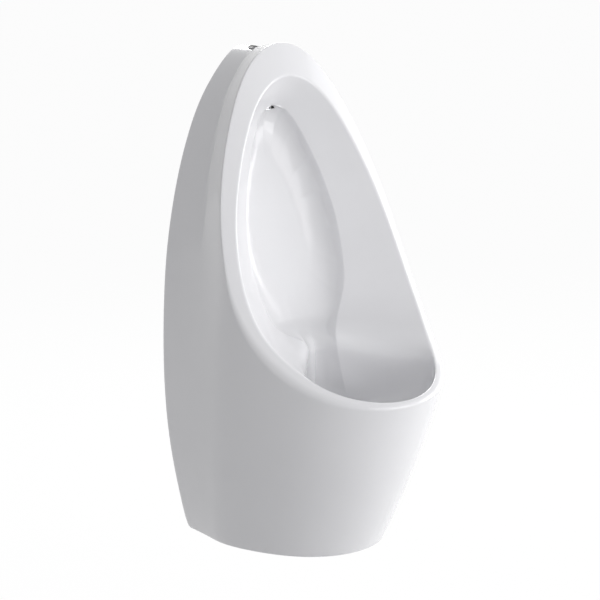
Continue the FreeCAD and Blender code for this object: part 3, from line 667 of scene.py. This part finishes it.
@dataclass
class GlazedBody:
    """The fired casting: its glazed front is drawn here and its hidden side is the solid's."""

    face: RimFace = field(default_factory=RimFace)
    skin_points: int = 56
    face_points: int = 10
    round_points: int = 8
    edge_points: int = 4
    foot_points: int = 3
    line_points: int = 240
    flat_points: int = 60
    # shares and degrees
    skin_power: float = 1.6
    outer_limit: float = 0.48
    inner_limit: float = 0.42
    corner: float = 0.46
    corner_reach: float = 0.011
    front_facing: float = 0.7
    sharp_angle: float = 50.0
    # millimetres, for the glazed front
    foot_round: float = 2.5
    outer_round: float = 2.2
    outer_more: float = 9.0
    outer_height: float = 470.0
    outer_fade: float = 230.0
    inner_round: float = 3.6
    crisp_round: float = 1.6
    foot_width: float = 11.0
    half_width: float = 177.3
    wall_middle: tuple[float, float, float] = (0.0, 350.0, 0.0)
    foot_middle: tuple[float, float, float] = (0.0, 0.0, 130.0)
    # metres, for the hidden side and the holes
    corner_round: float = 0.016
    front_gap: float = 0.0035
    weld: float = 2e-5
    wall_plane: float = -0.0002
    foot_plane: float = -0.0948
    shell_seed: tuple[float, float, float] = (0.0, -0.088, 0.585)
    holes: tuple[Hole, ...] = (Hole(0.037, 0.0155, 0.58, 0.61, 0.030, 0.010),
                               Hole(0.046, 0.016, 0.5110, 0.53, 0.016, 0.0155))
    bores: tuple[Bore, ...] = (Bore(0.180, 0.0411, below=0.0702), Bore(0.046, 0.0163, 0.490),
                               Bore(0.037, 0.0156, 0.565))

    @staticmethod
    def cut(line: np.ndarray, start: float, end: float, count: int,
            power: float = 1.0) -> np.ndarray:
        """Read part of a line again.

        Args:
            line: The line of points.
            start: Length to leave out at its start.
            end: Length to leave out at its end.
            count: How many points to read.
            power: More than 1 sets the points closer together towards the end.

        Returns:
            The points read.
        """
        run = np.concatenate([[0.0], np.cumsum(np.linalg.norm(np.diff(line, axis=0), axis=1))])
        share = np.linspace(0, 1, count)
        share = 1 - (1 - share) ** power
        at = start + (run[-1] - end - start) * share
        return np.stack([np.interp(at, run, line[:, k]) for k in range(3)], axis=1)

    @staticmethod
    def rounding(before: np.ndarray, corner: np.ndarray, after: np.ndarray,
                 count: int) -> np.ndarray:
        """Points of a soft corner, without its two ends."""
        t = np.linspace(0, 1, count + 2)[1:-1, None]
        return (1 - t) ** 2 * before + 2 * t * (1 - t) * corner + t ** 2 * after

    def feet(self, floor: float, at: np.ndarray) -> tuple[np.ndarray, np.ndarray, np.ndarray]:
        """Start the columns along the wall and the underside, round a soft corner.

        Args:
            floor: Share of the way down the skin at which the underside lies.
            at: Share of the way from the top to the lip, by column.

        Returns:
            By column, shares round and down the skin, and the turn from the wall to the underside.
        """
        corner, reach = self.corner, self.corner_reach
        foot_u = np.where(at < corner, 0.0, (at - corner) / (1 - corner))
        foot_v = np.where(at < corner, floor * at / corner, floor)
        turn = np.clip((at - corner + reach) / (2 * reach), 0, 1)
        soft = (turn > 0) & (turn < 1)
        near_u = reach / (1 - corner)
        near_v = floor * (corner - reach) / corner
        foot_u = np.where(soft, near_u * turn ** 2, foot_u)
        foot_v = np.where(soft, floor - (floor - near_v) * (1 - turn) ** 2, foot_v)
        return foot_u, foot_v, turn

    def column(self, step: np.ndarray, skin: np.ndarray, inner: np.ndarray, wall: np.ndarray,
               back: np.ndarray, wall_points: int) -> np.ndarray:
        """Join the lines of one column into a profile with soft corners.

        Args:
            step: Step inwards over the flat edge at the start.
            skin: Line up the outer skin to the rim.
            inner: Point on the edge of the opening.
            wall: Line from there to the crisp edge inside.
            back: Line on from the crisp edge.
            wall_points: How many points the wall gets.

        Returns:
            Points of the profile.
        """
        outer = skin[-1]
        flat = outer + (inner - outer) * np.linspace(0, 1, self.flat_points)[:, None]
        flat[:, 2] = self.face.depth(flat[:, 0], flat[:, 1])
        flat[0] = outer
        wide = float(np.linalg.norm(inner - outer))
        lower = float(ease(np.array((self.outer_height - outer[1]) / self.outer_fade)))
        soft = min(self.outer_round + self.outer_more * lower, self.outer_limit * wide)
        edge = min(self.inner_round, self.inner_limit * wide)
        foot = skin[0] + step
        toe = skin[0] + (foot - skin[0]) * self.foot_round / self.foot_width
        low = self.cut(skin, self.foot_round, soft, self.skin_points, self.skin_power)
        mid = self.cut(flat, soft, edge, self.face_points)
        side = self.cut(wall, edge, self.crisp_round, wall_points)
        deep = self.cut(back, self.crisp_round, 0.0, len(back))
        return np.concatenate([
            [foot, toe], self.rounding(toe, skin[0], low[0], self.foot_points), low,
            self.rounding(low[-1], outer, mid[0], self.round_points), mid,
            self.rounding(mid[-1], inner, side[0], self.round_points), side,
            self.rounding(side[-1], back[0], deep[0], self.edge_points), deep])

    def profiles(self) -> np.ndarray:
        """Profile lines from the wall or the underside over the rim and down inside.

        Returns:
            Points in millimetres, by column and then along the profile.
        """
        shroud = Shroud(self.face)
        shroud.build()
        rim = shroud.rim_line()
        run = lengths(shroud.read(rim[:, 0], rim[:, 1]))
        basin = Basin(self.face)
        opening, walls, backs = basin.build()
        at = np.linspace(0, 1, basin.columns)
        rim_u, rim_v = np.interp(at, run, rim[:, 0]), np.interp(at, run, rim[:, 1])
        foot_u, foot_v, turn = self.feet(shroud.floor, at)
        toes = self.toes(shroud.read(foot_u, foot_v), turn)
        part = np.linspace(0, 1, self.line_points)
        columns = []
        for k in range(basin.columns):
            skin = shroud.read(foot_u[k] + (rim_u[k] - foot_u[k]) * part,
                               foot_v[k] + (rim_v[k] - foot_v[k]) * part)
            columns.append(self.column(toes[k], skin, opening[k], walls[:, k], backs[:, k],
                                       basin.wall_points))
        made = np.array(columns)
        made[[0, -1], :, 0] = 0.0
        return np.clip(made, 0.0, (self.half_width, np.inf, np.inf))

    def toes(self, base: np.ndarray, turn: np.ndarray) -> np.ndarray:
        """Steps from the outline inwards over the flat edge on the wall or the underside.

        Args:
            base: Points of the outline, by column.
            turn: 0 on the wall, 1 on the underside and between them at the corner.

        Returns:
            The steps, by column.
        """
        along = np.gradient(base, axis=0)
        along[0], along[-1] = (-1, 0, 0), (-1, 0, 0)
        wall = np.stack([along[:, 1], -along[:, 0], np.zeros(len(base))], axis=1)
        foot = np.stack([along[:, 2], np.zeros(len(base)), -along[:, 0]], axis=1)
        wall *= np.sign((wall * (np.array(self.wall_middle) - base)).sum(axis=1))[:, None]
        foot *= np.sign((foot * (np.array(self.foot_middle) - base)).sum(axis=1))[:, None]
        wall /= np.maximum(np.linalg.norm(wall, axis=1), TINY)[:, None]
        foot /= np.maximum(np.linalg.norm(foot, axis=1), TINY)[:, None]
        step = wall * (1 - turn)[:, None] + foot * turn[:, None]
        return step / np.linalg.norm(step, axis=1)[:, None] * self.foot_width

    def on_front(self, tree: BVHTree, middle: np.ndarray, normal: Vector) -> bool:
        """Tell whether a face of the solid lies on the glazed front and faces its way.

        Args:
            tree: The glazed front.
            middle: Middle of the face.
            normal: Its normal.

        Returns:
            True where the face repeats the front.
        """
        _, facing, _, _ = tree.find_nearest(Vector(middle), self.front_gap)
        return facing is not None and abs(facing.dot(normal)) > self.front_facing

    def shell(self, faces: list[tuple], middle: np.ndarray, outline: np.ndarray) -> set[int]:
        """Spread over the solid's front skin from one face, up to the bores and the outline.

        Args:
            faces: Corners of the solid's faces.
            middle: Middle of each face.
            outline: True for the flat faces on the wall and the underside.

        Returns:
            Numbers of the faces reached.
        """
        barrier = outline.copy()
        for bore in self.bores:
            barrier |= bore.holds(middle)
        edges: dict[tuple[int, int], list[int]] = {}
        for number, face in enumerate(faces):
            for a, b in zip(face, face[1:] + face[:1]):
                edges.setdefault((min(a, b), max(a, b)), []).append(number)
        seed = int(np.argmin(np.linalg.norm(middle - np.array(self.shell_seed), axis=1)))
        front, waiting = {seed}, [seed]
        while waiting:
            face = faces[waiting.pop()]
            for a, b in zip(face, face[1:] + face[:1]):
                for other in edges[(min(a, b), max(a, b))]:
                    if other not in front and not barrier[other]:
                        front.add(other)
                        waiting.append(other)
        return front

    def round_corner(self, spots: np.ndarray) -> None:
        """Round the corner between the wall and the underside, as the front's is.

        Args:
            spots: Points in metres, moved where they are in the corner.
        """
        bend = self.corner_round
        low, deep = spots[:, 2] + OUTLET_HEIGHT * MM, -spots[:, 1]
        corner = (low < bend) & (deep < bend)
        across = np.stack([deep - bend, low - bend], axis=1)
        length = np.maximum(np.linalg.norm(across, axis=1), TINY)
        pull = np.where(corner & (length > bend), bend / length, 1.0)[:, None]
        across = across * pull + bend
        spots[corner, 1] = -across[corner, 0]
        spots[corner, 2] = across[corner, 1] - OUTLET_HEIGHT * MM

    def hidden_side(self, source: bpy.types.Object, tree: BVHTree) -> tuple[list, list]:
        """Faces of the solid that the glazed front doesn't cover.

        Args:
            source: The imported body.
            tree: The glazed front.

        Returns:
            Points and faces of the hidden side.
        """
        mesh = source.data
        points = np.zeros(len(mesh.vertices) * 3)
        mesh.vertices.foreach_get("co", points)
        points = points.reshape(-1, 3)
        corners = [tuple(p.vertices) for p in mesh.polygons]
        keys, owner = np.unique(np.round(points / self.weld).astype(np.int64), axis=0,
                                return_inverse=True)
        owner = owner.ravel()
        faces = [tuple(owner[v] for v in face) for face in corners]
        middle = np.array([points[list(face)].mean(axis=0) for face in corners])
        outline = (middle[:, 1] > self.wall_plane) | (middle[:, 2] < self.foot_plane)
        front = self.shell(faces, middle, outline)
        kept = [face for number, face in enumerate(faces)
                if number not in front and not outline[number]
                and not self.on_front(tree, middle[number], mesh.polygons[number].normal)]
        spots = np.zeros((len(keys), 3))
        spots[owner] = points
        self.round_corner(spots)
        used = sorted({v for face in kept for v in face})
        place = {v: k for k, v in enumerate(used)}
        LOG.info("hidden side: %d of %d faces kept", len(kept), len(faces))
        return [tuple(spots[v]) for v in used], [tuple(place[v] for v in f) for f in kept]

    def build(self, source: bpy.types.Object) -> bpy.types.Object:
        """Make the body.

        Args:
            source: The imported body.

        Returns:
            The new piece.
        """
        columns = self.profiles()
        count, along = columns.shape[:2]
        left = np.stack([-columns[..., 0], -columns[..., 2], columns[..., 1] - OUTLET_HEIGHT],
                        axis=-1) * MM
        right = left[1:-1] * (-1, 1, 1)
        numbers = np.arange(columns[..., 0].size).reshape(count, along)
        mirror = numbers.copy()
        mirror[1:-1] += (count - 1) * along
        kept = []
        for grid, way in ((numbers.tolist(), -1), (mirror.tolist(), 1)):
            for one, two in zip(grid, grid[1:]):
                for j in range(along - 1):
                    kept.append([one[j], two[j], two[j + 1], one[j + 1]][::way])
        spots = np.concatenate([left.reshape(-1, 3), right.reshape(-1, 3)])
        for hole in self.holes:
            kept = hole.open(spots, kept)
        verts = [tuple(spot) for spot in spots]
        tree = BVHTree.FromPolygons([Vector(v) for v in verts], kept)
        hidden_verts, hidden_faces = self.hidden_side(source, tree)
        slots = [0] * len(kept) + [1] * len(hidden_faces)
        kept += [tuple(v + len(verts) for v in face) for face in hidden_faces]
        verts += hidden_verts
        mesh = bpy.data.meshes.new("body_china")
        mesh.from_pydata(verts, [], kept)
        mesh.materials.append(GLAZED_CHINA.material())
        mesh.materials.append(BARE_CHINA.material())
        mesh.polygons.foreach_set("material_index", slots)
        mesh.validate()
        mesh.shade_smooth()
        mesh.set_sharp_from_angle(angle=math.radians(self.sharp_angle))
        made = bpy.data.objects.new("body_china", mesh)
        bpy.context.scene.collection.objects.link(made)
        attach(made, "urinal")
        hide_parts("china_body")
        return made


# ---- fittings
@dataclass
class Fitting:
    """Sub-assembly whose shapes are carried over from the part and only get a finish."""

    finishes: dict[str, Finish]

    def dress(self, nodes: dict[str, bpy.types.Object]) -> None:
        """Give every piece of the sub-assembly its finish.

        Args:
            nodes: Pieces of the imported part, by name.
        """
        for name, finish in self.finishes.items():
            piece = nodes[name]
            if not piece.material_slots:
                piece.data.materials.append(finish.material())
            for place in piece.material_slots:
                place.material = finish.material()
            LOG.info("dressed %s in %s", name, finish.name)


@dataclass
class FlushInlet(Fitting):
    """Seal in the inlet, tube and clamped spreader."""

    finishes: dict[str, Finish] = field(default_factory=lambda: {
        "inlet_seal": GREY_RUBBER, "flush_tube": CHROME, "spreader": CHROME,
        "spreader_gasket": RUBBER, "spreader_washer": RUBBER, "spreader_nut": BRASS})


@dataclass
class Drain(Fitting):
    """Collar in the drain hole, with the dip tube and the strainer that lift out of it."""

    finishes: dict[str, Finish] = field(default_factory=lambda: {
        "collar_gasket": RUBBER, "waste_collar": CHROME, "insert_seal": RUBBER,
        "trap_insert": TRAP_PLASTIC, "strainer": STAINLESS})


@dataclass
class Trap(Fitting):
    """Cup under the collar, its cleaning plug and the outlet to the wall."""

    finishes: dict[str, Finish] = field(default_factory=lambda: {
        "body_gasket": RUBBER, "trap_cup": TRAP_PLASTIC, "cleaning_plug": TRAP_PLASTIC,
        "plug_seal": RUBBER, "outlet_nut": TRAP_PLASTIC, "outlet_seal": RUBBER,
        "outlet_pipe": PIPE_PLASTIC})


@dataclass
class WallFixing(Fitting):
    """Hooks with their pads, and sleeves in the lower lugs."""

    finishes: dict[str, Finish] = field(default_factory=lambda: {
        "hanger_left": ZINC, "hanger_right": ZINC, "hanger_pads": RUBBER,
        "lower_sleeves": NYLON})


# ---- studio
@dataclass
class Studio:
    """Floor, lights, background and camera."""

    camera_place: tuple[float, float, float] = (-1.74726, -1.86605, 0.78366)
    camera_tilt: float = 77.7
    camera_turn: float = -45.0
    lens: float = 107.16
    sensor: float = 36.0
    far: float = 100.0
    floor_height: float = -0.47
    floor_tone: tuple[float, float, float] = (0.45, 0.45, 0.455)
    floor_white: float = 0.94
    floor_seen: tuple[float, float, float] = (0.96, 0.96, 0.96)
    floor_reach: float = 40.0
    floor_rough: float = 0.9
    floor_shine: float = 0.1
    ambient: float = 0.19
    sky_power: float = 2.0
    sky_tone: tuple[float, float, float] = (0.985, 0.985, 1.0)
    lamp_aim: tuple[float, float, float] = (0.0, -0.15, 0.25)
    # direction that the light comes from, strength
    sky: tuple = (((1.0, 0.0, 0.0), 0.55), ((-1.0, 0.0, 0.0), 0.22), ((0.0, -1.0, 0.0), 0.75),
                  ((0.7, -0.7, 0.14), 0.75), ((0.0, 1.0, 0.0), 0.4))
    # name, place, width, watts
    lamps: tuple = (("right", (3.4, -0.8, 0.8), 2.6, 17.0),
                    ("low_right", (2.8, -1.4, 0.0), 1.6, 16.0),
                    ("low_front", (1.0, -3.4, 0.0), 2.6, 28.0),
                    ("under_right", (0.9, -1.8, -0.3), 0.8, 5.0),
                    ("left", (-3.4, -0.9, 0.9), 2.6, 8.0),
                    ("behind", (1.5, 1.5, 1.9), 1.6, 38.0))

    @staticmethod
    def sum_of(tree: bpy.types.NodeTree, operation: str,
               *given: bpy.types.NodeSocket | float) -> bpy.types.NodeSocket:
        """Add a math node.

        Args:
            tree: Nodes to add it to.
            operation: What it works out.
            given: Sockets or plain numbers, in the order of its inputs.

        Returns:
            Its result.
        """
        made = tree.nodes.new("ShaderNodeMath")
        made.operation = operation
        for slot, value in zip(made.inputs, given):
            if isinstance(value, bpy.types.NodeSocket):
                tree.links.new(value, slot)
            else:
                slot.default_value = value
        return made.outputs["Value"]

    def white_for_camera(self, tree: bpy.types.NodeTree) -> bpy.types.NodeSocket:
        """Add a factor that is 1 for rays that show the background.

        Args:
            tree: Nodes to add it to.

        Returns:
            The factor.
        """
        path = tree.nodes.new("ShaderNodeLightPath")
        total = path.outputs["Is Camera Ray"]
        for name in ("Is Glossy Ray", "Is Transmission Ray"):
            total = self.sum_of(tree, "MAXIMUM", total, path.outputs[name])
        return total

    def world(self) -> None:
        """Soft light from all round, and a white background."""
        world = bpy.data.worlds.new("studio")
        bpy.context.scene.world = world
        world.use_nodes = True
        tree = world.node_tree
        light = tree.nodes["Background"]
        light.inputs["Color"].default_value = (*self.sky_tone, 1.0)
        heading = tree.nodes.new("ShaderNodeTexCoord").outputs["Generated"]
        total = self.ambient
        for direction, strength in self.sky:
            facing = tree.nodes.new("ShaderNodeVectorMath")
            facing.operation = "DOT_PRODUCT"
            facing.inputs[1].default_value = direction
            tree.links.new(heading, facing.inputs[0])
            ahead = self.sum_of(tree, "MAXIMUM", facing.outputs["Value"], 0.0)
            lobe = self.sum_of(tree, "POWER", ahead, self.sky_power)
            total = self.sum_of(tree, "MULTIPLY_ADD", lobe, strength, total)
        tree.links.new(total, light.inputs["Strength"])
        white = tree.nodes.new("ShaderNodeBackground")
        white.inputs["Strength"].default_value = 1.0
        mix = tree.nodes.new("ShaderNodeMixShader")
        tree.links.new(self.white_for_camera(tree), mix.inputs["Fac"])
        tree.links.new(light.outputs["Background"], mix.inputs[1])
        tree.links.new(white.outputs["Background"], mix.inputs[2])
        tree.links.new(mix.outputs["Shader"], tree.nodes["World Output"].inputs["Surface"])

    def floor(self) -> None:
        """Plain pale floor that keeps a faint shadow."""
        mesh = bpy.data.meshes.new("floor")
        corners = [(x * self.floor_reach, y * self.floor_reach, self.floor_height)
                   for x, y in ((-1, -1), (1, -1), (1, 1), (-1, 1))]
        mesh.from_pydata(corners, [], [(0, 1, 2, 3)])
        made = bpy.data.objects.new("floor", mesh)
        bpy.context.scene.collection.objects.link(made)
        paint = bpy.data.materials.new("floor_paint")
        paint.use_nodes = True
        tree = paint.node_tree
        shader = tree.nodes["Principled BSDF"]
        shader.inputs["Roughness"].default_value = self.floor_rough
        shader.inputs["Specular IOR Level"].default_value = self.floor_shine
        white = self.white_for_camera(tree)
        tone = tree.nodes.new("ShaderNodeMix")
        tone.data_type = "RGBA"
        tone.inputs["A"].default_value = (*self.floor_tone, 1.0)
        tone.inputs["B"].default_value = (*self.floor_seen, 1.0)
        tree.links.new(white, tone.inputs["Factor"])
        tree.links.new(tone.outputs["Result"], shader.inputs["Base Color"])
        glow = tree.nodes.new("ShaderNodeEmission")
        glow.inputs["Strength"].default_value = 1.0
        mix = tree.nodes.new("ShaderNodeMixShader")
        part = self.sum_of(tree, "MULTIPLY", white, self.floor_white)
        tree.links.new(part, mix.inputs["Fac"])
        tree.links.new(shader.outputs["BSDF"], mix.inputs[1])
        tree.links.new(glow.outputs["Emission"], mix.inputs[2])
        tree.links.new(mix.outputs["Shader"], tree.nodes["Material Output"].inputs["Surface"])
        mesh.materials.append(paint)

    def lights(self) -> None:
        """Large soft lamps."""
        for name, place, size, power in self.lamps:
            data = bpy.data.lights.new(name, "AREA")
            data.shape = "DISK"
            data.size = size
            data.energy = power
            lamp = bpy.data.objects.new(name, data)
            bpy.context.scene.collection.objects.link(lamp)
            lamp.location = place
            aim = np.array(self.lamp_aim) - np.array(place)
            lamp.rotation_euler = (math.atan2(math.hypot(aim[0], aim[1]), -aim[2]), 0.0,
                                   math.atan2(aim[0], -aim[1]) + math.pi)

    def camera(self) -> None:
        """Camera at the photograph's angle."""
        data = bpy.data.cameras.new("camera")
        data.lens = self.lens
        data.sensor_width = self.sensor
        data.clip_end = self.far
        made = bpy.data.objects.new("camera", data)
        bpy.context.scene.collection.objects.link(made)
        made.location = self.camera_place
        made.rotation_euler = (math.radians(self.camera_tilt), 0.0, math.radians(self.camera_turn))
        bpy.context.scene.camera = made

    def build(self) -> None:
        """Set up the view, the background, the floor, the lamps and the camera."""
        bpy.context.scene.view_settings.view_transform = "Standard"
        self.world()
        self.floor()
        self.lights()
        self.camera()
        LOG.info("studio: %d lamps, floor and camera", len(self.lamps))


def main() -> None:
    """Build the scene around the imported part."""
    logging.basicConfig(level=logging.INFO, format="%(message)s")
    for piece in list(bpy.data.objects):
        bpy.data.objects.remove(piece)
    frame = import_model()
    Studio().build()
    body = GlazedBody().build(frame["nodes"]["china_body"])
    LOG.info("%s: %d faces", body.name, len(body.data.polygons))
    for fitting in (FlushInlet(), Drain(), Trap(), WallFixing()):
        fitting.dress(frame["nodes"])


if __name__ == "__main__":
    main()
